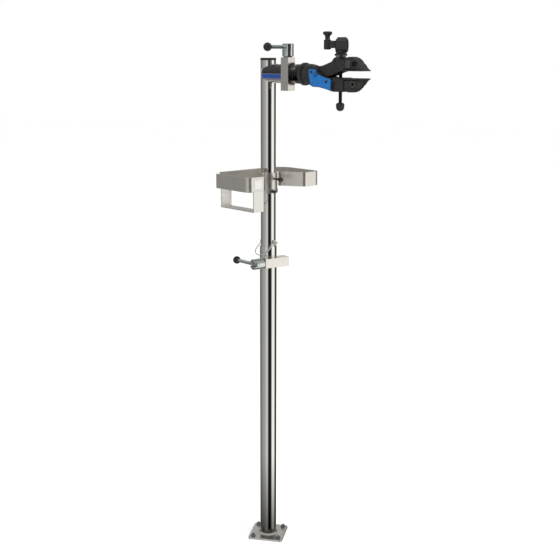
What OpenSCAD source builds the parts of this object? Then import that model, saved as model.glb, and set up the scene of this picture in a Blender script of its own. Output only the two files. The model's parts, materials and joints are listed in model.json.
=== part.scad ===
// Single-arm workshop repair stand: a bolted base plate, a lower tube, a telescoping
// mast held by a draw-bar lock, a tool tray, and a turning head with a screw clamp.
// Millimetres, +Z up. Origin: centre of the base plate's underside.

/* [Base] */
// Side of the square base plate
plate_w = 115; // [108:1:130]
// Thickness of the base plate
plate_t = 6; // [5:0.5:10]
// Spacing of the four floor bolt holes
bolt_pitch = 86; // [80:1:88]
// Radius of a floor bolt hole
bolt_hole_r = 4.75; // [4:0.25:6]

/* [Post] */
// Height of the lower tube's rim above the floor
rim_z = 1005; // [1000:1:1008]
// Height of the lower draw bar's axis above the floor
lock_z = 956.5; // [900:0.5:957]
// Direction of the lower draw bar, degrees from +X
lock_az = 45; // [40:1:50]

/* [Mast] */
// Height of the clamp arm's axis above the floor
head_z = 1547; // [1530:1:1550]
// Direction of the clamp arm, degrees from +X
arm_az = -33; // [-36:1:-30]
// Spacing of the spare height-pin holes
pin_pitch = 38; // [30:1:45]

/* [Tray] */
// Height of the tray's floor above the floor
tray_z = 1196; // [1190:1:1210]
// Depth of the tray's walls
tray_h = 45; // [35:1:50]
// Direction the tray's open front faces, degrees from +X
tray_az = -37; // [-40:1:-35]
// Drop of the towel strap below the tray
strap_drop = 63; // [50:1:66]

/* [Clamp] */
// Radius of the clamp screw
screw_r = 5; // [4:0.25:5]
// Length of the crank, from the screw to its knob
crank_len = 40; // [38:1:46]
// Direction of the crank at rest, degrees round the screw
crank_az = -150; // [-180:5:-120]
// Half width of the jaw covers
jaw_hw = 24; // [22.5:0.5:28]

/* [Finish] */
// Number of sides used to draw round parts
sides = 72; // [48:8:96]

/* [Hidden] */
$fn = sides;

post_r = 27;           // lower tube, outside
post_bore = 23.95;     // lower tube, inside
mast_r = 23.85;        // mast, outside
mast_bore = 20.85;     // mast, inside
mast_bottom = 740;
mast_top = 1587;
bar = 30;              // both draw bars are square
bore_r = 10;           // their bores
plug_r = 9.95;         // the plugs that slide in them
stud_r = 4;
bar_off = 32;          // a draw bar's axis to the clamped tube's axis
low_back = 40;         // lower draw bar, drum end, from the tube
low_front = 48;        // lower draw bar, plain end
drum_r = 17;
drum_l = 38;
lever_r = 5.6;
lever_len = 111.5;     // drum axis to ball centre
ball_r = 12.5;
pin_z = 1018;
pin_r = 4;
head_r = 29;           // head tube, outside
head_bore = 26;
head_s = 148;          // head tube's open end, along the arm
shaft_r = 25.95;
hbar_s = 115;          // upper draw bar, along the arm
hbar_h = 49;           // half its height
px = 225;              // jaw pivot, along the arm
tx = 296;              // clamp screw, along the arm
tz = 33;               // trunnion axes above and below the arm's axis
trun_r = 9;

// ---------- shared shapes ----------
module rod_x(r, x0, x1) { translate([x0, 0, 0]) rotate([0, 90, 0]) cylinder(r = r, h = x1 - x0); }
module rod_y(r, y0, y1) { translate([0, y1, 0]) rotate([90, 0, 0]) cylinder(r = r, h = y1 - y0); }
module ring(ro, ri, h) { difference() { cylinder(r = ro, h = h); translate([0, 0, -1]) cylinder(r = ri, h = h + 2); } }
// disc on Z with both edges chamfered
module turned(r, h, c) { rotate_extrude() polygon([[0, 0], [r - c, 0], [r, c], [r, h - c], [r - c, h], [0, h]]); }
module turned_x(r, x0, x1, c) { translate([x0, 0, 0]) rotate([0, 90, 0]) turned(r, x1 - x0, c); }
module turned_y(r, y0, y1, c) { translate([0, y1, 0]) rotate([90, 0, 0]) turned(r, y1 - y0, c); }
// side profile in the arm's upright plane, from y0 to y1
module side(y0, y1) { translate([0, y1, 0]) rotate([90, 0, 0]) linear_extrude(height = y1 - y0) children(); }
module round_rect(w, d, r) {
  square([w - 2*r, d], center = true);
  square([w, d - 2*r], center = true);
  for (x = [-1, 1], y = [-1, 1]) translate([x*(w/2 - r), y*(d/2 - r)]) circle(r = r);
}
// outlines: move every edge in by d, and round every corner (r outside, more in a notch)
function unit(v) = v/norm(v);
function left(a, b) = let (d = unit(b - a)) [-d[1], d[0]];
function prev(p, i) = p[(i + len(p) - 1) % len(p)];
function next(p, i) = p[(i + 1) % len(p)];
function inset(p, d) = [for (i = [0 : len(p) - 1]) let (n1 = left(prev(p, i), p[i]), n2 = left(p[i], next(p, i))) p[i] + d/(1 + n1*n2)*(n1 + n2)];
function soft(p, r, d, n) = [for (i = [0 : len(p) - 1])
  let (b = p[i], u = unit(prev(p, i) - b), v = unit(next(p, i) - b), w = acos(u*v),
       out = cross(b - prev(p, i), next(p, i) - b) > 0, q = out ? r - d : r + d,
       c = b + unit(u + v)*q/sin(w/2), p1 = b + u*q/tan(w/2), p2 = b + v*q/tan(w/2),
       a1 = atan2(p1[1] - c[1], p1[0] - c[0]), a2 = atan2(p2[1] - c[1], p2[0] - c[0]),
       da = ((a2 - a1 + 540) % 360) - 180)
  for (j = [0 : n]) c + q*[cos(a1 + da*j/n), sin(a1 + da*j/n)]];

// ---------- frames ----------
module on_mast() { rotate([0, 0, arm_az]) children(); }
module on_head() { translate([0, 0, head_z]) rotate([0, 0, arm_az]) children(); }
// A draw-bar lock's frame: its bore runs along X with the drum towards -X,
// and the clamped tube's axis is parallel to Z at y = bar_off.
module at_low_lock() { translate([0, 0, lock_z]) rotate([0, 0, lock_az]) translate([0, -bar_off, 0]) children(); }
// upper lock: drum on top, clamped shaft along the arm
module at_top_lock() { on_head() translate([hbar_s, -bar_off, 0]) rotate([0, 90, 0]) children(); }

// ---------- draw-bar locks ----------
module lock_plug(x0, x1) { difference() { turned_x(plug_r, x0, x1, 0.6); rod_x(stud_r + 0.1, x0 - 1, x1 + 1); } }
module lock_washer(back) { difference() { rod_x(13, -back - 1.8, -back); rod_x(stud_r + 0.05, -back - 3, -back + 1); } }
module lock_stud(back, x1) { rod_x(stud_r, -back - 20, x1); }
module lock_drum(back) {
  difference() {
    turned_x(drum_r, -back - 1.9 - drum_l, -back - 1.9, 1.4);
    rod_x(stud_r, -back - 20, -back);
    translate([-back - 30, 0, 0]) rod_y(lever_r, -40, 40);
    // the lever's seat is open to the drum's outer end
    translate([-back - 50, -40, -lever_r]) cube([20, 80, 2*lever_r]);
  }
}
module lock_lever(back) {
  translate([-back - 30, 0, 0]) {
    turned_y(lever_r, -21, lever_len - 4, 0.8);
  }
}
module lock_ball(back) {
  translate([-back - 30, lever_len, 0]) difference() {
    rotate([90, 0, 0]) rotate_extrude() polygon(concat([for (a = [-90 : 7.5 : 52.5]) ball_r*[cos(a), sin(a)]], [[7, 11], [6.6, 13.4], [0, 13.4]]));
    rod_y(lever_r, -20, -4);
  }
}

// ---------- base and lower tube ----------
module base_plate() color("silver") {
  difference() {
    linear_extrude(height = plate_t) round_rect(plate_w, plate_w, 8);
    for (x = [-1, 1], y = [-1, 1]) translate([x*bolt_pitch/2, y*bolt_pitch/2, -1]) cylinder(r = bolt_hole_r, h = plate_t + 2);
  }
  // weld bead round the tube's foot
  translate([0, 0, plate_t]) rotate_extrude() polygon([[post_r, 0], [post_r + 5, 0], [post_r + 3.6, 1.4], [post_r + 1.4, 3.6], [post_r, 5]]);
}
module lower_tube() color("silver") difference() {
  translate([0, 0, plate_t]) ring(post_r, post_bore, rim_z - plate_t);
  at_low_lock() rod_x(bore_r, -low_back, low_front);
}
module low_bar() color("gainsboro") difference() {
  at_low_lock() translate([-low_back, -bar/2, -bar/2]) cube([low_back + low_front, bar, bar]);
  translate([0, 0, lock_z - 40]) cylinder(r = post_r, h = 80);
  at_low_lock() rod_x(bore_r, -low_back - 1, low_front + 1);
}
module low_plug(x0, x1) { difference() { at_low_lock() lock_plug(x0, x1); translate([0, 0, lock_z - 30]) cylinder(r = mast_r + 0.05, h = 60); } }
module low_plug_near() color("goldenrod") low_plug(-34, -3.5);
module low_plug_far() color("goldenrod") low_plug(3.5, 36);
module low_washer() color("dimgray") at_low_lock() lock_washer(low_back);
module low_stud() color("gray") at_low_lock() lock_stud(low_back, 40);
module low_drum() color("lightgray") at_low_lock() rotate([-2.5, 0, 0]) lock_drum(low_back);
module low_lever() color("gray") at_low_lock() rotate([-2.5, 0, 0]) lock_lever(low_back);
module low_ball() color("black") at_low_lock() rotate([-2.5, 0, 0]) lock_ball(low_back);

// ---------- mast ----------
module mast_foot() color("ivory") {
  translate([0, 0, mast_bottom - 22]) turned(mast_r + 0.02, 22, 1.5);
  translate([0, 0, mast_bottom - 0.1]) cylinder(r = mast_bore - 0.06, h = 25);
}
module mast_tube() color("silver") difference() {
  translate([0, 0, mast_bottom + 0.1]) ring(mast_r, mast_bore, mast_top - mast_bottom - 0.1);
  on_mast() for (i = [0 : 5]) translate([0, 0, pin_z - i*pin_pitch]) rod_x(pin_r + 0.05, -40, 40);
}
module mast_cap() color("black") {
  translate([0, 0, mast_top]) turned(mast_r + 0.65, 7, 1.2);
  translate([0, 0, mast_top - 12]) ring(mast_bore, mast_bore - 2.5, 12.5);
}
module head_tube() color("silver") difference() {
  on_head() rod_x(head_r, -4, head_s);
  on_head() rod_x(head_bore, 10, head_s + 1);
  translate([0, 0, head_z - 60]) cylinder(r = mast_r, h = 120);
  at_top_lock() rod_x(bore_r, -60, 60);
}
// thin sector shell on the head tube's near side, from angle a0 to a1 above the horizontal
module near_shell(s0, s1, a0, a1) difference() {
  on_head() translate([s0, 0, 0]) rotate([0, 90, 0]) rotate([0, 0, -90 - a1]) rotate_extrude(angle = a1 - a0) translate([head_r + 0.02, 0]) square([0.3, s1 - s0]);
  translate([0, 0, head_z - 60]) cylinder(r = mast_r + 0.3, h = 120);
}
module head_label() color("black") near_shell(1, 99.6, 0, 66);
module head_label_band() color("blue") near_shell(1, 99.6, -29, -2);
module head_bar() color("gainsboro") difference() {
  on_head() translate([hbar_s - bar/2, -bar_off - bar/2, -hbar_h]) cube([bar, bar, 2*hbar_h]);
  on_head() rod_x(head_r, hbar_s - 30, hbar_s + 30);
  at_top_lock() rod_x(bore_r, -60, 60);
}
module top_plug(x0, x1) { difference() { at_top_lock() lock_plug(x0, x1); on_head() rod_x(shaft_r + 0.05, hbar_s - 20, hbar_s + 20); } }
module top_plug_upper() color("goldenrod") top_plug(-40, -4);
module top_plug_lower() color("goldenrod") top_plug(4, 40);
module top_washer() color("dimgray") at_top_lock() lock_washer(hbar_h);
module top_stud() color("gray") at_top_lock() lock_stud(hbar_h, 44);
module top_drum() color("lightgray") at_top_lock() rotate([168, 0, 0]) lock_drum(hbar_h);
module top_lever() color("gray") at_top_lock() rotate([168, 0, 0]) lock_lever(hbar_h);
module top_ball() color("black") at_top_lock() rotate([168, 0, 0]) lock_ball(hbar_h);

// ---------- height pin ----------
module at_pin() { on_mast() translate([0, 0, pin_z]) children(); }
bail_r = 28;
bail_tilt = 40;
wire = 1.4;
module safety_pin() color("whitesmoke") at_pin() {
  rod_x(pin_r, -33, 32);
  translate([34, 0, 0]) sphere(r = 5.3);
  // shoulders that keep the bail's eyes in place
  for (x = [-32.5, -25.4, 24.2]) turned_x(pin_r + 0.9, x, x + 1.4, 0.3);
}
module pin_bail() color("silver") at_pin() rotate([bail_tilt, 0, 0]) {
  for (x = [-1, 1]) {
    // eye on the pin, and a straight leg
    difference() { rod_x(pin_r + 2.9, min(x*bail_r - 1.3, x*bail_r + 1.3), max(x*bail_r - 1.3, x*bail_r + 1.3)); rod_x(pin_r + 0.06, -60, 60); }
    translate([x*bail_r, 0, 0]) rod_y(wire, -30, -pin_r - 1.2);
  }
  translate([0, -30, 0]) rotate([0, 0, 180]) rotate_extrude(angle = 180) translate([bail_r, 0]) circle(r = wire);
}

// ---------- tray ----------
module on_tray() { rotate([0, 0, tray_az]) children(); }
tw = 2;
tray_pts = [[81.5, -150], [81.5, -81], [10, -39], [10, 39], [81.5, 81], [81.5, 146], [-68, 146], [-104, 112], [-104, -114], [-78, -150]];
module thumb_screw(x0, x1, kr, kl) {
  rod_x(2.95, x0, x1 + 2);
  difference() {
    translate([x1, 0, 0]) rotate([0, 90, 0]) rotate_extrude() polygon([[0, 0], [kr*0.62, 0], [kr*0.7, kl*0.25], [kr, kl*0.5], [kr, kl*0.9], [kr*0.86, kl], [0, kl]]);
    for (a = [0 : 45 : 315]) rotate([a, 0, 0]) translate([x1 + kl*0.2, kr + 0.9, 0]) rod_x(1.7, 0, kl);
  }
}
module stop_ring() color("silver") difference() {
  translate([0, 0, tray_z - 19]) turned_ring(30, mast_r + 0.1, 13, 0.8);
  translate([0, 0, tray_z - 13]) rotate([0, 0, -48.6]) rod_x(3, 15, 40);
}
module turned_ring(ro, ri, h, c) { rotate_extrude() polygon([[ri, 0], [ro - c, 0], [ro, c], [ro, h - c], [ro - c, h], [ri, h]]); }
module stop_ring_screw() color("black") translate([0, 0, tray_z - 13]) rotate([0, 0, -48.6]) thumb_screw(24.2, 33, 6, 9);
module tray_pan() color("lightgray") on_tray() difference() {
  translate([0, 0, tray_z]) linear_extrude(height = tray_h) polygon(soft(tray_pts, 17, 0, 8));
  translate([0, 0, tray_z + tw]) linear_extrude(height = tray_h) polygon(soft(inset(tray_pts, tw), 17, tw, 8));
  translate([0, 0, tray_z - 1]) cylinder(r = 28, h = tray_h + 10);
  // lower wall across one rear corner
  translate([-91, -132, tray_z + 32]) rotate([0, 0, -54.2]) translate([-20, -20, 0]) cube([40, 40, 40]);
  for (x = [60, -62], y = [-116, -100]) translate([x, y, tray_z - 1]) cylinder(r = 2.5, h = 6);
}
module tray_sleeve() color("darkgray") on_tray() difference() {
  translate([0, 0, tray_z - 5.8]) ring(28, mast_r + 0.1, tray_h + 5.8);
  translate([0, 0, tray_z + 26]) rotate([0, 0, arm_az - tray_az]) rod_x(3, 15, 40);
}
module tray_label() color("white") on_tray() translate([81.5, -125, tray_z + 9]) cube([0.6, 30, 26]);
module towel_strap() color("whitesmoke") on_tray() difference() {
  translate([-80, -128, tray_z - strap_drop]) cube([160, 40, strap_drop]);
  translate([-77, -129, tray_z - strap_drop + 3]) cube([154, 42, strap_drop - 5]);
  translate([-50, -129, tray_z - 4]) cube([98, 42, 5]);
  for (x = [60, -62], y = [-116, -100]) translate([x, y, tray_z - 4]) cylinder(r = 2.5, h = 6);
}
module strap_rivets() color("silver") on_tray() for (x = [60, -62], y = [-116, -100]) translate([x, y, tray_z]) {
  translate([0, 0, -3.4]) cylinder(r = 2.5, h = 7);
  translate([0, 0, tw]) turned(4, 1.7, 0.8);
  translate([0, 0, -3.7]) turned(4, 1.7, 0.8);
}
module tray_screw() color("black") translate([0, 0, tray_z + 26]) on_mast() thumb_screw(24.2, 44, 7.5, 16);

// ---------- clamp head ----------
module clamp_shaft() color("gray") on_head() difference() { rod_x(shaft_r, 30, 151); rod_x(20, 29, 140); }
module shaft_plug() color("black") on_head() { turned_x(25.4, 26.5, 29.9, 0.8); rod_x(19.95, 29.8, 45); }
module clamp_flange() color("black") on_head() rotate([0, 90, 0]) rotate_extrude() polygon([[0, 151], [30, 151], [33.5, 153.5], [33.5, 160], [31.5, 163], [26, 164.5], [26, 167], [0, 167]]);
// hub, a fork whose cheeks carry the pivot, and the lower jaw's carrier
module lower_arm() color("dimgray") on_head() difference() {
  union() {
    rotate([0, 90, 0]) rotate_extrude() polygon([[0, 167], [27.5, 167], [30, 169.5], [30, 184], [28, 196], [25.5, 204], [0, 204]]);
    for (y = [-28, 20]) side(y, y + 8) polygon(cheek);
    side(-21, 21) polygon([[196, -20], [240, -22], [270, -22], [285, -12], [285, -46], [262, -38], [236, -34], [206, -33], [196, -30]]);
    side(-24, 24) polygon([[283, -8], [319, -8], [325.8, -11], [325.8, -41], [319, -48], [287, -48], [283, -45]]);
    side(-13, 13) polygon([[322, -16], [366, -16], [372, -20], [366, -29], [352, -38], [322, -40]]);
  }
  translate([px, 0, 0]) rod_y(6, -60, 60);
  // lower trunnion's bore, and the slot the screw leans in
  translate([tx, 0, -tz]) rod_y(trun_r + 0.05, -60, 60);
  side(-5.8, 5.8) polygon([[tx - 13, 0], [tx + 8, 0], [tx + 6.2, -tz], [tx + 12, -60], [tx - 8, -60], [tx - 6.2, -tz]]);
  for (p = screws, y = [-1, 1]) translate([p[0], 0, p[1]]) rod_y(2.5, y < 0 ? -60 : 22, y < 0 ? -22 : 60);
}
cheek = [[190, 23], [208, 25], [218, 23], [229, 14], [238, 4], [250, -3], [268, -8], [285, -10], [285, -46], [258, -40], [236, -36], [212, -35.5], [204, -32], [190, -25]];
screws = [[268, -20], [209, 7]];
cover_pts = [[197.8, 14.9], [223.6, 15.4], [228.4, 7.7], [233, 1.4], [246.4, -3.7], [264, -8.9], [281.4, -11.4], [284.5, -15], [284.5, -26.6], [283, -38.3], [286.3, -47], [274.3, -42], [257, -36.9], [236, -34.3], [216.5, -34.3], [207.8, -31.7], [204.2, -20.3], [199.8, -2.6]];
module arm_cover_near() color("dodgerblue") on_head() arm_cover(-31, -28);
module arm_cover_far() color("dodgerblue") on_head() arm_cover(28, 31);
module arm_cover(y0, y1) {
  difference() {
    side(y0, y1) polygon(cover_pts);
    for (p = screws) translate([p[0], 0, p[1]]) rod_y(2.5, -60, 60);
    translate([px, 0, 0]) rod_y(6, -60, 60);
  }
}
module cover_screws() color("black") on_head() for (p = screws, y = [-1, 1]) translate([p[0], 0, p[1]]) mirror([0, y < 0 ? 0 : 1, 0]) { rod_y(2.5, -31.5, -22.5); turned_y(4.2, -32.6, -31, 0.6); }
module pivot_pin() color("dimgray") on_head() translate([px, 0, 0]) { rod_y(6, -31.4, 31.4); for (y = [-33, 31]) turned_y(7.5, y, y + 2, 0.6); }
module lower_trunnion() color("goldenrod") on_head() translate([tx, 0, -tz]) difference() { rod_y(trun_r, -22, 22); cylinder(r = screw_r + 0.1, h = 30, center = true); }
// jaw cover in the upper jaw's place: s1 = height of its grip face
module jaw_cover(g) {
  difference() {
    union() {
      side(-jaw_hw, jaw_hw) polygon([[326, g], [391, g], [392.4, g + 1.6], [389.5, g + 3.4], [326, g + 4]]);
      side(-jaw_hw + 2.5, jaw_hw - 2.5) polygon([[326, g + 3.5], [386, g + 3], [383, g + 9], [376, g + 18], [368, g + 27], [360, g + 33], [348, g + 38], [334, g + 39], [326, g + 37]]);
      for (x = [334, 342, 350]) side(-jaw_hw + 7, jaw_hw - 7) polygon([[x, g + 36], [x + 4, g + 36], [x + 4, g + 40.6], [x + 1.2, g + 41.2]]);
    }
    side(-13.1, 13.1) polygon([[325, g + 6.9], [366, g + 6.9], [372.2, g + 11], [366.1, g + 20.1], [352.1, g + 29.1], [325, g + 31.1]]);
    // recess in each flank, and the screw hole in it
    for (y = [-1, 1]) {
      mirror([0, y < 0 ? 0 : 1, 0]) side(-60, -jaw_hw + 5) polygon([[340, g + 8], [372, g + 8], [374, g + 11], [367, g + 20], [358, g + 27], [344, g + 27], [338, g + 20]]);
      translate([353, 0, g + 17.5]) mirror([0, y < 0 ? 0 : 1, 0]) rod_y(3.4, -60, -15);
    }
    for (x = [332 : 6 : 386]) translate([x, 0, g - 0.5]) rod_y(1.3, -60, 60);
  }
}
module lower_jaw_cover() color("black") on_head() mirror([0, 0, 1]) jaw_cover(9);
module upper_arm() color("dimgray") on_head() difference() {
  union() {
    translate([px, 0, 0]) rod_y(15, -18, 18);
    side(-18, 18) polygon([[219, 13], [224, 20], [249.7, 28.3], [275.7, 37], [284, 44], [300, 44], [321.8, 40], [321.8, 18], [308, 10], [286, 2.6], [274, -2.6], [260, -5], [246, -4], [236, -8], [219, -10]]);
    translate([tx, 0, tz]) rod_y(17, -20, 20);
    side(-20, 20) polygon([[280, 30], [286, 40], [306, 44], [322, 42], [326, 37], [326, 18], [318, 12.5], [306, 9], [288, 6], [279, 14]]);
    side(-13, 13) polygon([[320, 18], [366, 18], [372, 22], [366, 31], [352, 40], [320, 42]]);
  }
  translate([px, 0, 0]) rod_y(6.05, -60, 60);
  translate([tx, 0, tz]) rod_y(trun_r + 0.05, -60, 60);
  side(-5.8, 5.8) polygon([[tx - 14.6, -6], [tx + 8.5, -6], [tx + 6.2, tz], [tx + 12, 60], [tx - 8, 60], [tx - 6.2, tz]]);
}
module upper_jaw_cover() color("black") on_head() jaw_cover(11);
module upper_trunnion() color("goldenrod") on_head() translate([tx, 0, tz]) difference() { rod_y(trun_r, -18.5, 18.5); cylinder(r = screw_r + 0.1, h = 30, center = true); }
module thrust_washer() color("dimgray") on_head() translate([tx, 0, tz + 17.2]) ring(15, screw_r + 0.1, 3);
module clamp_screw() color("dimgray") on_head() translate([tx, 0, -90]) cylinder(r = screw_r, h = 180);
module screw_end_cap() color("black") on_head() translate([tx, 0, -104]) difference() {
  rotate_extrude() polygon([[0, 0], [4, 0.5], [7.6, 2.2], [10.2, 5], [11.8, 9], [12.3, 14], [12.3, 19], [11.4, 22], [8.5, 24], [0, 24]]);
  translate([0, 0, 14]) cylinder(r = screw_r, h = 20);
}
// crank: a faceted hub with a sloped crown, a round skirt below, and an arm with a boss
module crank_hub() color("black") on_head() translate([tx, 0, 0]) rotate([0, 0, crank_az]) difference() {
  union() {
    translate([0, 0, 53.6]) turned(18.5, 6.2, 1.2);
    rotate_extrude() polygon([[0, 59], [13, 59], [15.5, 64], [17, 70], [17, 84], [0, 84]]);
    // hexagonal body lying along the crank, its outer corners cut back
    intersection() {
      translate([-19, 0, 83]) rotate([0, 90, 0]) cylinder(r = 23, h = 34, $fn = 6);
      translate([0, 0, 83]) rotate([0, 90, 0]) rotate_extrude() polygon([[0, -19], [18, -19], [23.5, -14], [23.5, 9], [16, 15], [0, 15]]);
    }
    translate([0, -8, 75]) cube([crank_len, 16, 21]);
    translate([crank_len, 0, 71]) turned(10.5, 29, 2.5);
  }
  translate([0, 0, 50]) cylinder(r = screw_r, h = 40);
  translate([crank_len, 0, 84]) cylinder(r = 3, h = 20);
}
module crank_spindle() color("gray") on_head() translate([tx + crank_len*cos(crank_az), crank_len*sin(crank_az), 84]) { cylinder(r = 3, h = 36.4); translate([0, 0, 36.4]) turned(5, 1.8, 0.5); }
module crank_knob() color("black") on_head() translate([tx + crank_len*cos(crank_az), crank_len*sin(crank_az), 100.3]) difference() {
  rotate_extrude() polygon([[0, 0], [7.6, 0], [6.9, 3], [7.2, 7.5], [9, 11], [12.6, 14], [13.6, 16.5], [13.2, 19.5], [10.6, 21.6], [0, 21.9]]);
  translate([0, 0, -1]) cylinder(r = 3.06, h = 30);
  translate([0, 0, 19.9]) cylinder(r = 5.1, h = 10);
}

base_plate();
lower_tube();
low_bar();
low_plug_near();
low_plug_far();
low_washer();
low_stud();
low_drum();
low_lever();
low_ball();
mast_foot();
mast_tube();
mast_cap();
head_tube();
head_label();
head_label_band();
head_bar();
top_plug_upper();
top_plug_lower();
top_washer();
top_stud();
top_drum();
top_lever();
top_ball();
safety_pin();
pin_bail();
stop_ring();
stop_ring_screw();
tray_pan();
tray_sleeve();
tray_label();
towel_strap();
strap_rivets();
tray_screw();
clamp_shaft();
shaft_plug();
clamp_flange();
lower_arm();
arm_cover_near();
arm_cover_far();
cover_screws();
pivot_pin();
lower_trunnion();
lower_jaw_cover();
upper_arm();
upper_jaw_cover();
upper_trunnion();
thrust_washer();
clamp_screw();
screw_end_cap();
crank_hub();
crank_spindle();
crank_knob();
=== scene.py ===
import json, math
import bpy
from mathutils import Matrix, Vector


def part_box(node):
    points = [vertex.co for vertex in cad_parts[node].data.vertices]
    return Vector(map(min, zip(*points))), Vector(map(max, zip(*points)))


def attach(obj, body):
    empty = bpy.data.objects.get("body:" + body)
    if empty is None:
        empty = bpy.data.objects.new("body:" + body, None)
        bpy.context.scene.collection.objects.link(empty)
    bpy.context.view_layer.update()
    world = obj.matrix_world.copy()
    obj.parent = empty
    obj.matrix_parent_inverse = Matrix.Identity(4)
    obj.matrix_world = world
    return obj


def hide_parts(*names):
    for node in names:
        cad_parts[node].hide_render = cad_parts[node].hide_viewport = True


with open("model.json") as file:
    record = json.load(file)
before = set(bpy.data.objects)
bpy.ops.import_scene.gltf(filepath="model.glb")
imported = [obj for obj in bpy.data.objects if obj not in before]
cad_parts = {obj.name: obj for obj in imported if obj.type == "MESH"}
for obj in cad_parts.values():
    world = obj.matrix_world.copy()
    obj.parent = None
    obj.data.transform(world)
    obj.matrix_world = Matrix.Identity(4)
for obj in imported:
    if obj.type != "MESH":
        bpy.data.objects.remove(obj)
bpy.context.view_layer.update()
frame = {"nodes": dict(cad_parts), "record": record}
scene = bpy.context.scene
scene.view_settings.view_transform = "Standard"
nodes = frame["nodes"]

# ---------------------------------------------------------------- materials
def srgb(v):
    v = v / 255.0
    return v / 12.92 if v <= 0.04045 else ((v + 0.055) / 1.055) ** 2.4


def ramp(nt, fac, stops):
    n = nt.nodes.new("ShaderNodeValToRGB")
    e = n.color_ramp.elements
    while len(e) > 1:
        e.remove(e[-1])
    e[0].position, e[0].color = stops[0][0], stops[0][1]
    for p, c in stops[1:]:
        x = e.new(p)
        x.color = c
    nt.links.new(fac, n.inputs[0])
    return n.outputs[0]


def grey(v):
    return (v, v, v, 1.0)


def mat(name, color, metal=0.0, rough=0.4, wear=None, var=0.12, rvar=0.12, scale=30.0, stretch=(1, 1, 1),
        bump=0.15, bump_scale=400.0, edge=0.0006, dist=0.0002, coat=0.0, spec=0.5, dust=0.0, thread=None, aniso=None, wear_at=0.62):
    """One procedural finish: colour mottling, roughness variation, a fine bump, softened edges, and optional wear, dust or a screw thread."""
    m = bpy.data.materials.new(name)
    m.use_nodes = True
    nt = m.node_tree
    N, L = nt.nodes, nt.links
    b = N["Principled BSDF"]
    tc = N.new("ShaderNodeTexCoord")
    mp = N.new("ShaderNodeMapping")
    mp.inputs["Scale"].default_value = stretch
    L.new(tc.outputs["Object"], mp.inputs[0])
    n1 = N.new("ShaderNodeTexNoise")
    n1.inputs["Scale"].default_value = scale
    n1.inputs["Detail"].default_value = 6
    L.new(mp.outputs[0], n1.inputs["Vector"])
    lo = tuple(c * (1 - var) for c in color) + (1,)
    hi = tuple(min(1, c * (1 + var)) for c in color) + (1,)
    col = ramp(nt, n1.outputs["Fac"], [(0.3, lo), (0.7, hi)])
    rr = ramp(nt, n1.outputs["Fac"], [(0.25, grey(max(0.02, rough * (1 - rvar)))), (0.75, grey(min(1, rough * (1 + rvar))))])
    if wear:
        n3 = N.new("ShaderNodeTexNoise")
        n3.inputs["Scale"].default_value = scale * 2.3
        n3.inputs["Detail"].default_value = 9
        n3.inputs["Roughness"].default_value = 0.7
        L.new(tc.outputs["Object"], n3.inputs["Vector"])
        f = ramp(nt, n3.outputs["Fac"], [(wear_at, grey(0)), (wear_at + 0.1, grey(1))])
        mx = N.new("ShaderNodeMix")
        mx.data_type = "RGBA"
        L.new(f, mx.inputs[0])
        L.new(col, mx.inputs[6])
        mx.inputs[7].default_value = tuple(wear) + (1,)
        col = mx.outputs[2]
    if dust:
        # pale dust settles on faces that look up
        g = N.new("ShaderNodeNewGeometry")
        s = N.new("ShaderNodeSeparateXYZ")
        L.new(g.outputs["Normal"], s.inputs[0])
        f = ramp(nt, s.outputs[2], [(0.5, grey(0)), (1.0, grey(dust))])
        mx = N.new("ShaderNodeMix")
        mx.data_type = "RGBA"
        L.new(f, mx.inputs[0])
        L.new(col, mx.inputs[6])
        mx.inputs[7].default_value = (0.35, 0.34, 0.33, 1)
        col = mx.outputs[2]
    L.new(col, b.inputs["Base Color"])
    L.new(rr, b.inputs["Roughness"])
    b.inputs["Metallic"].default_value = metal
    b.inputs["Specular IOR Level"].default_value = spec
    b.inputs["Coat Weight"].default_value = coat
    b.inputs["Coat Roughness"].default_value = 0.12
    bev = N.new("ShaderNodeBevel")
    bev.samples = 4
    bev.inputs["Radius"].default_value = edge
    n2 = N.new("ShaderNodeTexNoise")
    n2.inputs["Scale"].default_value = bump_scale
    n2.inputs["Detail"].default_value = 4
    L.new(mp.outputs[0], n2.inputs["Vector"])
    bp = N.new("ShaderNodeBump")
    bp.inputs["Strength"].default_value = bump
    bp.inputs["Distance"].default_value = dist
    L.new(n2.outputs["Fac"], bp.inputs["Height"])
    L.new(bev.outputs[0], bp.inputs["Normal"])
    out = bp.outputs[0]
    if thread:
        w = N.new("ShaderNodeTexWave")
        w.wave_type = "BANDS"
        w.bands_direction = "Z"
        w.inputs["Scale"].default_value = thread
        L.new(tc.outputs["Object"], w.inputs["Vector"])
        b2 = N.new("ShaderNodeBump")
        b2.inputs["Strength"].default_value = 1.0
        b2.inputs["Distance"].default_value = 0.0009
        L.new(w.outputs["Fac"], b2.inputs["Height"])
        L.new(out, b2.inputs["Normal"])
        out = b2.outputs[0]
    L.new(out, b.inputs["Normal"])
    return m


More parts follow.
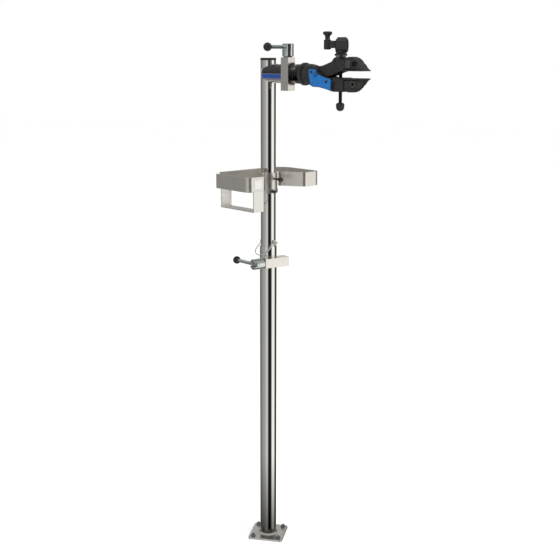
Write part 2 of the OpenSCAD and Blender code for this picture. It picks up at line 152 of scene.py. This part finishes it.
M = {
    "chrome_tube": mat("chrome_tube", (0.86, 0.85, 0.83), 1, 0.045, var=0.02, rvar=0.5, scale=9, bump=0.02, bump_scale=60, edge=0.0008),
    "plated_steel": mat("plated_steel", (0.76, 0.74, 0.71), 1, 0.3, var=0.1, rvar=0.3, scale=40, bump=0.2, bump_scale=300, wear=(0.45, 0.42, 0.38), wear_at=0.66),
    "bright_steel": mat("bright_steel", (0.80, 0.78, 0.74), 1, 0.17, var=0.04, rvar=0.3, scale=30, stretch=(1, 1, 1), bump=0.1, bump_scale=500, edge=0.001),
    "zinc_steel": mat("zinc_steel", (0.66, 0.72, 0.71), 1, 0.15, var=0.08, rvar=0.3, scale=60, bump=0.12, bump_scale=500, edge=0.0008),
    "satin_steel": mat("satin_steel", (0.86, 0.835, 0.79), 1, 0.36, var=0.04, rvar=0.2, scale=26, stretch=(1, 1, 14), bump=0.18, bump_scale=240, edge=0.001),
    "dark_steel": mat("dark_steel", (0.05, 0.05, 0.052), 0.6, 0.36, var=0.25, scale=80, bump=0.2, wear=(0.12, 0.12, 0.12)),
    "bronze": mat("bronze", (0.45, 0.33, 0.17), 1, 0.3, var=0.2, scale=80, wear=(0.2, 0.14, 0.08)),
    "white_nylon": mat("white_nylon", (0.75, 0.74, 0.7), 0, 0.5, var=0.05),
    "black_plastic": mat("black_plastic", (0.016, 0.0165, 0.018), 0, 0.42, var=0.3, rvar=0.25, scale=50, bump=0.35, bump_scale=900, edge=0.0012, dust=0.02, spec=0.5),
    "black_ball": mat("black_ball", (0.010, 0.0105, 0.012), 0, 0.16, var=0.2, scale=40, bump=0.05, bump_scale=300, coat=0.3),
    "black_cast": mat("black_cast", (0.020, 0.0205, 0.022), 0, 0.46, var=0.3, rvar=0.25, scale=60, bump=0.6, bump_scale=1300, edge=0.0018, wear=(0.045, 0.045, 0.047), dust=0.015, dist=0.0003),
    "blue_plastic": mat("blue_plastic", (0.0012, 0.135, 0.44), 0, 0.42, var=0.12, rvar=0.2, scale=60, bump=0.3, bump_scale=900, edge=0.0012, wear=(0.002, 0.10, 0.34), wear_at=0.68),
    "jaw_rubber": mat("jaw_rubber", (0.022, 0.0215, 0.021), 0, 0.5, var=0.4, rvar=0.25, scale=55, bump=0.5, bump_scale=700, edge=0.0016, wear=(0.055, 0.049, 0.042), wear_at=0.6, dist=0.0003),
    "label_black": mat("label_black", (0.008, 0.008, 0.010), 0, 0.14, var=0.2, scale=30, bump=0.03, bump_scale=80, coat=0.5),
    "label_blue": mat("label_blue", (0.006, 0.055, 0.26), 0, 0.18, var=0.1, scale=30, bump=0.03, bump_scale=80, coat=0.5),
    "label_blank": mat("label_blank", (0.66, 0.66, 0.65), 0.2, 0.35, var=0.04, scale=40, bump=0.05),
}
# painted reflection: the head tube's open end mirrors the black flange beside it, so past a line across the arm its
# base colour is painted near-black with noisy edges
M["chrome_head"] = mat("chrome_head", (0.86, 0.85, 0.83), 1, 0.05, var=0.02, rvar=0.5, scale=9, bump=0.02, bump_scale=60, edge=0.0008)
_nt = M["chrome_head"].node_tree
_b = _nt.nodes["Principled BSDF"]
_src = _b.inputs["Base Color"].links[0].from_socket
_tc = _nt.nodes.new("ShaderNodeTexCoord")
_dot = _nt.nodes.new("ShaderNodeVectorMath")
_dot.operation = "DOT_PRODUCT"
_dot.inputs[1].default_value = (math.cos(math.radians(-33)), math.sin(math.radians(-33)), 0)
_nt.links.new(_tc.outputs["Object"], _dot.inputs[0])
_nz = _nt.nodes.new("ShaderNodeTexNoise")
_nz.inputs["Scale"].default_value = 55
_nt.links.new(_tc.outputs["Object"], _nz.inputs["Vector"])
_add = _nt.nodes.new("ShaderNodeMath")
_add.operation = "MULTIPLY_ADD"
_nt.links.new(_nz.outputs["Fac"], _add.inputs[0])
_add.inputs[1].default_value = -0.05
_nt.links.new(_dot.outputs["Value"], _add.inputs[2])
_f = ramp(_nt, _add.outputs[0], [(0.098, grey(0)), (0.108, grey(0.93))])
_mx = _nt.nodes.new("ShaderNodeMix")
_mx.data_type = "RGBA"
_nt.links.new(_f, _mx.inputs[0])
_nt.links.new(_src, _mx.inputs[6])
_mx.inputs[7].default_value = (0.03, 0.029, 0.028, 1)
_nt.links.new(_mx.outputs[2], _b.inputs["Base Color"])
# painted reflection: the lower tube mirrors the dark floor joint near its foot, so its base colour is painted darker
# towards the bottom
M["chrome_lower"] = mat("chrome_lower", (0.86, 0.85, 0.83), 1, 0.05, var=0.02, rvar=0.5, scale=9, bump=0.02, bump_scale=60, edge=0.0008)
_nt = M["chrome_lower"].node_tree
_b = _nt.nodes["Principled BSDF"]
_src = _b.inputs["Base Color"].links[0].from_socket
_tc = _nt.nodes.new("ShaderNodeTexCoord")
_sp = _nt.nodes.new("ShaderNodeSeparateXYZ")
_nt.links.new(_tc.outputs["Object"], _sp.inputs[0])
_f = ramp(_nt, _sp.outputs[2], [(0.0, grey(0.88)), (0.05, grey(0.8)), (0.14, grey(0.5)), (0.30, grey(0))])
_mx = _nt.nodes.new("ShaderNodeMix")
_mx.data_type = "RGBA"
_nt.links.new(_f, _mx.inputs[0])
_nt.links.new(_src, _mx.inputs[6])
_mx.inputs[7].default_value = (0.045, 0.04, 0.032, 1)
_nt.links.new(_mx.outputs[2], _b.inputs["Base Color"])
# painted shade: a near-black copy of the jaw rubber, painted into the recesses and grooves of the jaw covers
M["jaw_pit_painted_shade"] = mat("jaw_pit_painted_shade", (0.004, 0.004, 0.004), 0, 0.6, var=0.3, scale=60, bump=0.2, bump_scale=700, edge=0)
# painted highlight: a lighter copy of the jaw rubber, painted on the raised block and steps of the jaw covers
M["jaw_painted_highlight"] = mat("jaw_painted_highlight", (0.048, 0.048, 0.045), 0, 0.42, var=0.3, rvar=0.2, scale=60, bump=0.3, bump_scale=700, edge=0.001)
# painted shade: a darker copy of the blue plastic for the pivot pin, which sits in shadow at the pivot boss
M["blue_painted_shade"] = mat("blue_painted_shade", (0.002, 0.075, 0.26), 0, 0.45, var=0.15, scale=60, bump=0.2, bump_scale=900)
M["lever_zinc"] = mat("lever_zinc", (0.70, 0.78, 0.77), 1, 0.34, var=0.08, rvar=0.3, scale=60, bump=0.12, bump_scale=500, edge=0.0008)
M["pin_bright"] = mat("pin_bright", (0.92, 0.93, 0.93), 1, 0.2, var=0.05, rvar=0.3, scale=60, bump=0.08, bump_scale=500, edge=0.0006)
M["strap_bright"] = mat("strap_bright", (0.97, 0.955, 0.925), 1, 0.42, var=0.03, rvar=0.2, scale=26, stretch=(1, 1, 14), bump=0.15, bump_scale=240, edge=0.001)
M["screw_black"] = mat("screw_black", (0.022, 0.022, 0.023), 0.5, 0.34, var=0.3, scale=80, thread=190.0)

for sp in frame["record"]["subparts"]:
    o = nodes.get(sp["node"])
    if o is None:
        continue
    m = M.get(sp["material_slot"], M["black_plastic"])
    if sp["node"] == "clamp_screw":
        m = M["screw_black"]
    if sp["node"] in ("upper_trunnion", "lower_trunnion"):
        m = M["dark_steel"]
    if sp["node"] in ("low_lever", "top_lever"):
        m = M["lever_zinc"]
    if sp["node"] in ("safety_pin", "pin_bail"):
        m = M["pin_bright"]
    if sp["node"] == "towel_strap":
        m = M["strap_bright"]
    if sp["node"] == "lower_tube":
        m = M["chrome_lower"]
    # the pivot pin takes the painted-shade blue
    if sp["node"] == "pivot_pin":
        m = M["blue_painted_shade"]
    if sp["node"] == "head_tube":
        m = M["chrome_head"]
    o.data.materials.clear()
    o.data.materials.append(m)

# ---------------------------------------------------------------- moulded jaw covers
ARM = math.radians(-33)
PIV = {n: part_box(n) for n in ("upper_jaw_cover", "lower_jaw_cover", "clamp_screw", "clamp_shaft")}
AXIS_Z = (PIV["clamp_shaft"][0][2] + PIV["clamp_shaft"][1][2]) / 2


def arm_pt(s, t, z):
    """Arm frame, millimetres along the arm, across it and above its axis, to the row frame."""
    s, t, z = s / 1000.0, t / 1000.0, z / 1000.0
    return (s * math.cos(ARM) - t * math.sin(ARM), s * math.sin(ARM) + t * math.cos(ARM), AXIS_Z + z)


def lerp(tab, x):
    for (a, u), (b, v) in zip(tab, tab[1:]):
        if x <= b:
            k = (x - a) / (b - a)
            k = k * k * (3 - 2 * k) if tab[0][1] != tab[-1][1] else k
            return u + (v - u) * k
    return tab[-1][1]


def add_grid(verts, faces, rings, closed_ends=True):
    n = len(rings[0])
    base = len(verts)
    for r in rings:
        verts.extend(r)
    for i in range(len(rings) - 1):
        for j in range(n):
            a, b = base + i * n + j, base + i * n + (j + 1) % n
            faces.append((a, b, b + n, a + n))
    if closed_ends:
        faces.append(tuple(base + j for j in reversed(range(n))))
        faces.append(tuple(base + (len(rings) - 1) * n + j for j in range(n)))


def smooth(a, b, x):
    """0 below a, 1 above b, eased between."""
    x = max(0.0, min(1.0, (x - a) / (b - a)))
    return x * x * (3 - 2 * x)


def jaw_cover(name, g, up, node, body):
    """A domed, hollow-flanked cover over a wide thin grip plate. g: height of the grip face; up: 1 upper, -1 lower."""
    verts, faces = [], []
    HT = [(326, 36.0), (334, 38.6), (346, 38.8), (357, 36.0), (366, 29.5), (375, 20.5), (383, 11.0), (388.5, 5.0)]
    WD = [(326, 21.6), (352, 21.6), (372, 20.4), (388.5, 18.6)]
    rings, hollow = [], []
    NS, NP = 100, 132
    z0 = 2.6
    for i in range(NS + 1):
        s = 326 + 62.5 * i / NS
        h, w = lerp(HT, s), lerp(WD, s)
        # an evenly spaced, flat-sided outline
        fine = []
        for j in range(721):
            q = 2 * math.pi * j / 720
            ca, sa = math.cos(q), math.sin(q)
            fine.append((w * math.copysign(abs(ca) ** 0.42, ca), (z0 + h) / 2 + (h - z0) / 2 * math.copysign(abs(sa) ** 0.5, sa)))
        run = [0.0]
        for p0, p1 in zip(fine, fine[1:]):
            run.append(run[-1] + math.dist(p0, p1))
        ring, flags, k = [], [], 0
        for j in range(NP):
            want = run[-1] * j / NP
            while run[k + 1] < want:
                k += 1
            f = (want - run[k]) / max(1e-9, run[k + 1] - run[k])
            t = fine[k][0] + f * (fine[k + 1][0] - fine[k][0])
            z = fine[k][1] + f * (fine[k + 1][1] - fine[k][1])
            side = min(1.0, abs(t) / w) ** 6
            crown = max(0.0, min(1.0, (z - h * 0.72) / (h * 0.2)))
            t *= 1 - 0.09 * (max(0.0, z - z0) / 36.0)
            sg = math.copysign(1.0, t)
            dark = 0
            if up > 0:
                # a raised block, then a deep hollow towards the nose
                bs = smooth(330.5, 332, s) * (1 - smooth(348.0, 349.6, s)) * smooth(8.0, 9.5, z) * (1 - smooth(28.5, 30.5, z))
                d = math.hypot((s - 363.0) / 9.6, (z - 20.0) / 7.8)
                pit = 1 - smooth(0.82, 1.0, d)
                ring_up = math.exp(-((d - 1.22) / 0.16) ** 2)
                t += sg * side * (1.3 * bs - 5.0 * pit + 0.9 * ring_up)
                # flag 1 paints shade into the hollow, flag 2 paints a highlight on the raised block
                dark = 1 if d < 0.98 else (2 if bs > 0.5 else 0)
            else:
                # concentric steps round a sunk hole
                d = math.hypot(s - 357.5, (z - 16.5) * 1.12)
                pit = 1 - smooth(3.2, 4.4, d)
                step = smooth(6.5, 7.4, d) * (1 - smooth(10.8, 11.8, d)) + 1.2 * smooth(14.2, 15.2, d)
                t += sg * side * (1.5 * step - 1.6 - 5.0 * pit)
                # flag 1 paints shade into the hole and groove, flag 2 paints a highlight on the raised step
                dark = 1 if (d < 4.3 or 11.2 < d < 13.8) else (2 if 6.9 < d < 11.3 else 0)
            if side < 0.2:
                dark = 0
            # ribs across the crown
            if 330 < s < 368:
                z += 1.4 * crown * max(0.0, math.cos((s - 333) * 2 * math.pi / 7.4)) ** 0.7
            ring.append(arm_pt(s, t, up * (g + z)) if up > 0 else arm_pt(s, -t, up * (g + z)))
            flags.append(dark)
        rings.append(ring)
        hollow.append(flags)
    add_grid(verts, faces, rings)
    # grip plate, rounded in plan
    HW = 24.0
    plan = []
    for cx, cy, a0 in ((326, -HW, None), (391 - 5, -HW + 5, -90), (391 - 5, HW - 5, 0), (326, HW, None)):
        if a0 is None:
            plan.append((cx, cy))
        else:
            for k in range(9):
                a = math.radians(a0 + 90 * k / 8)
                plan.append((cx + 5 * math.cos(a), cy + 5 * math.sin(a)))
    lay = [(0.0, 0.8), (0.0, 0.3), (0.3, 0.0), (2.6, 0.0), (3.5, 0.5), (4.1, 1.6)]
    rings = []
    for z, ins in lay:
        rings.append([arm_pt(max(326, 326 + (s - 326) * (1 - ins / 65.0)), up * t * (1 - ins / HW), up * (g + z)) for s, t in plan])
    add_grid(verts, faces, rings)
    me = bpy.data.meshes.new(name)
    me.from_pydata(verts, [], faces)
    me.update()
    import bmesh
    bm = bmesh.new()
    bm.from_mesh(me)
    bmesh.ops.recalc_face_normals(bm, faces=bm.faces)
    bm.to_mesh(me)
    bm.free()
    for p in me.polygons:
        p.use_smooth = len(p.vertices) == 4
    me.set_sharp_from_angle(angle=math.radians(42))
    o = bpy.data.objects.new(name, me)
    scene.collection.objects.link(o)
    me.materials.append(M["jaw_rubber"])
    me.materials.append(M["jaw_pit_painted_shade"])
    me.materials.append(M["jaw_painted_highlight"])
    # faces flagged 1 take the painted-shade material, faces flagged 2 the painted-highlight one
    for i in range(NS):
        for j in range(NP):
            near = {hollow[i][j], hollow[i + 1][j], hollow[i][(j + 1) % NP]}
            if len(near) == 1:
                me.polygons[i * NP + j].material_index = hollow[i][j]
    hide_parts(node)
    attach(o, body)
    return o


jaw_cover("upper_jaw_pad", 11.0, 1, "upper_jaw_cover", "upper_jaw")
jaw_cover("lower_jaw_pad", 9.0, -1, "lower_jaw_cover", "clamp")

# ---------------------------------------------------------------- floor bolts
def floor_bolts():
    """A washer and a domed hexagon head over each corner hole."""
    lo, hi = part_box("base_plate")
    plate_top = 0.006
    verts, faces = [], []
    hx, hy = 0.043, 0.043
    for i, (x, y) in enumerate(((hx, hy), (-hx, hy), (-hx, -hy), (hx, -hy))):
        turn = 0.3 + 0.7 * i
        rings = []
        for r, z in ((0.0086, 0.0), (0.0086, 0.0012), (0.0080, 0.0016), (0.0030, 0.0016)):
            rings.append([(x + r * math.cos(q * math.pi / 16), y + r * math.sin(q * math.pi / 16), plate_top + z) for q in range(32)])
        add_grid(verts, faces, rings)
        rings = []
        for r, z in ((0.0070, 0.0014), (0.0070, 0.0066), (0.0060, 0.0078), (0.0034, 0.0080), (0.0032, 0.0100), (0.0022, 0.0112), (0.0006, 0.0116)):
            n = 36
            ring = []
            for q in range(n):
                a = 2 * math.pi * q / n
                k = 1.0
                if r > 0.0055:
                    b = (a - math.pi / 6 + math.pi / 6) % (math.pi / 3) - math.pi / 6
                    k = math.cos(math.pi / 6) / math.cos(b)
                ring.append((x + r * k * math.cos(a + turn), y + r * k * math.sin(a + turn), plate_top + z))
            rings.append(ring)
        add_grid(verts, faces, rings)
    me = bpy.data.meshes.new("floor_bolts")
    me.from_pydata(verts, [], faces)
    import bmesh
    bm = bmesh.new()
    bm.from_mesh(me)
    bmesh.ops.recalc_face_normals(bm, faces=bm.faces)
    bm.to_mesh(me)
    bm.free()
    me.set_sharp_from_angle(angle=math.radians(24))
    o = bpy.data.objects.new("floor_bolts", me)
    scene.collection.objects.link(o)
    me.materials.append(mat("bolt_zinc", (0.30, 0.33, 0.33), 1, 0.32, var=0.2, scale=120, bump=0.2, bump_scale=700, edge=0.0004))
    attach(o, "stand")


floor_bolts()

# ---------------------------------------------------------------- floor, light, camera
CAM_AZ = -78.0
bpy.ops.mesh.primitive_plane_add(size=40, location=(0, 0, -0.0005))
floor = bpy.context.object
floor.name = "floor"
fm = mat("floor_paper", (0.93, 0.93, 0.93), 0, 0.85, var=0.01, rvar=0.05, scale=3, bump=0.05, bump_scale=20, edge=0)
_fb = fm.node_tree.nodes["Principled BSDF"]
_fb.inputs["Emission Color"].default_value = (1, 1, 1, 1)
_fb.inputs["Emission Strength"].default_value = 0.22
_fb.inputs["Specular IOR Level"].default_value = 0.1
floor.data.materials.append(fm)
floor.visible_glossy = False

world = bpy.data.worlds.new("studio")
scene.world = world
world.use_nodes = True
nt = world.node_tree
N, L = nt.nodes, nt.links
for n in list(N):
    N.remove(n)
out = N.new("ShaderNodeOutputWorld")
tc = N.new("ShaderNodeTexCoord")
sep = N.new("ShaderNodeSeparateXYZ")
L.new(tc.outputs["Generated"], sep.inputs[0])


def mth(op, a, b=None):
    n = N.new("ShaderNodeMath")
    n.operation = op
    for i, v in enumerate((a, b)):
        if v is None:
            continue
        if isinstance(v, (int, float)):
            n.inputs[i].default_value = v
        else:
            L.new(v, n.inputs[i])
    return n.outputs[0]


az = mth("ARCTAN2", sep.outputs[1], sep.outputs[0])
rel = mth("ADD", az, math.radians(-CAM_AZ + 540))
frac = mth("MODULO", mth("DIVIDE", rel, 2 * math.pi), 1.0)
cards = [(-179.5, 205), (-172, 150), (-160, 100), (-130, 108), (-104, 126), (-84, 148), (-62, 158), (-45, 166), (-30, 190), (-16, 212), (-5, 155), (2, 38), (22, 20), (36, 30), (46, 130),
         (56, 240), (70, 252), (88, 244), (98, 200), (108, 70), (128, 36), (150, 55), (165, 90), (173, 150), (179.5, 205)]
tint = lambda a: (1.0, 0.975, 0.935) if 40 < a < 104 else (1.0, 0.985, 0.965)
side = ramp(nt, frac, [((a + 180) / 360.0, tuple(srgb(v) * 1.1 * t for t in tint(a)) + (1,)) for a, v in cards])
up = ramp(nt, sep.outputs[2], [(0.16, grey(0)), (0.42, grey(1))])
mixz = N.new("ShaderNodeMix")
mixz.data_type = "RGBA"
L.new(up, mixz.inputs[0])
L.new(side, mixz.inputs[6])
mixz.inputs[7].default_value = (0.44, 0.435, 0.425, 1)
bg_g = N.new("ShaderNodeBackground")
L.new(mixz.outputs[2], bg_g.inputs[0])
bg_w = N.new("ShaderNodeBackground")
bg_w.inputs[0].default_value = (1, 1, 1, 1)
bg_w.inputs[1].default_value = 1.0
bg_d = N.new("ShaderNodeBackground")
bg_d.inputs[0].default_value = (1, 1, 1, 1)
bg_d.inputs[1].default_value = 0.85
lp = N.new("ShaderNodeLightPath")
m1 = N.new("ShaderNodeMixShader")
L.new(lp.outputs["Is Glossy Ray"], m1.inputs[0])
L.new(bg_d.outputs[0], m1.inputs[1])
L.new(bg_g.outputs[0], m1.inputs[2])
m2 = N.new("ShaderNodeMixShader")
L.new(lp.outputs["Is Camera Ray"], m2.inputs[0])
L.new(m1.outputs[0], m2.inputs[1])
L.new(bg_w.outputs[0], m2.inputs[2])
L.new(m2.outputs[0], out.inputs[0])


def area(name, az_deg, dist, z, size, watts, color=(1, 1, 1)):
    d = bpy.data.lights.new(name, "AREA")
    d.shape = "RECTANGLE"
    d.size, d.size_y = size
    d.energy = watts
    d.color = color
    o = bpy.data.objects.new(name, d)
    scene.collection.objects.link(o)
    a = math.radians(az_deg)
    o.location = (dist * math.cos(a), dist * math.sin(a), z)
    from mathutils import Vector
    v = Vector((0.1, -0.05, 1.1)) - o.location
    o.rotation_euler = v.to_track_quat("-Z", "Y").to_euler()
    o.visible_glossy = False
    return o


area("key", CAM_AZ + 62, 3.2, 2.6, (1.4, 2.2), 60, (1, 0.985, 0.95))
area("fill", CAM_AZ - 55, 3.6, 2.0, (1.6, 2.2), 22)

cam_d = bpy.data.cameras.new("camera")
cam_d.sensor_width = 36
cam_d.lens = 64.29
cam_d.shift_x = 0.0210
cam_d.clip_end = 100
cam = bpy.data.objects.new("camera", cam_d)
scene.collection.objects.link(cam)
cam.location = (0.657, -3.091, 1.609)
cam.rotation_euler = (math.radians(90 - 12.8), 0, math.radians(12))
scene.camera = cam
